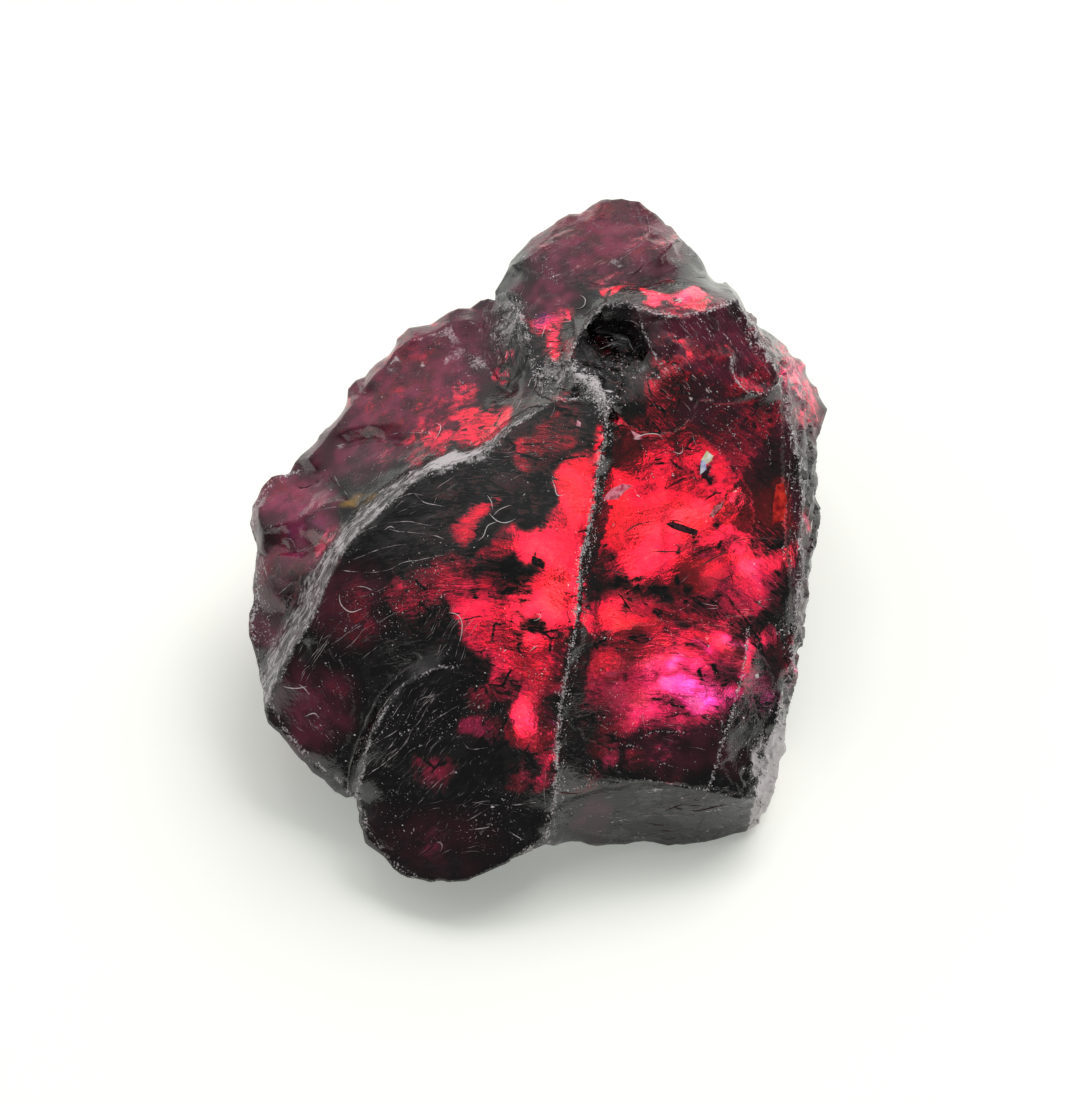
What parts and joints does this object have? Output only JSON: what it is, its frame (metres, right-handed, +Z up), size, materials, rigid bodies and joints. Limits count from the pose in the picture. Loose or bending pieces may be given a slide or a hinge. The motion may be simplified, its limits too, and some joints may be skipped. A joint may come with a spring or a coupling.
{
  "type": "rough gemstone",
  "caption": "Rough broken piece of deep red, glassy gem crystal, with curved fracture faces and a flat face to rest on.",
  "frame": {"origin": "on the surface the stone rests on, under the centre of its bounding box", "axes": "+Z up, +Y from the low front edge of the broad face towards the peak behind, +X to the right"},
  "size_m": [0.0146, 0.0174, 0.0094],
  "materials": {
    "red_crystal": "glassy fracture, deep red to purple, transparent where thin"
  },
  "bodies": {
    "root": {"rough_crystal": "red_crystal"}
  },
  "joints": []
}
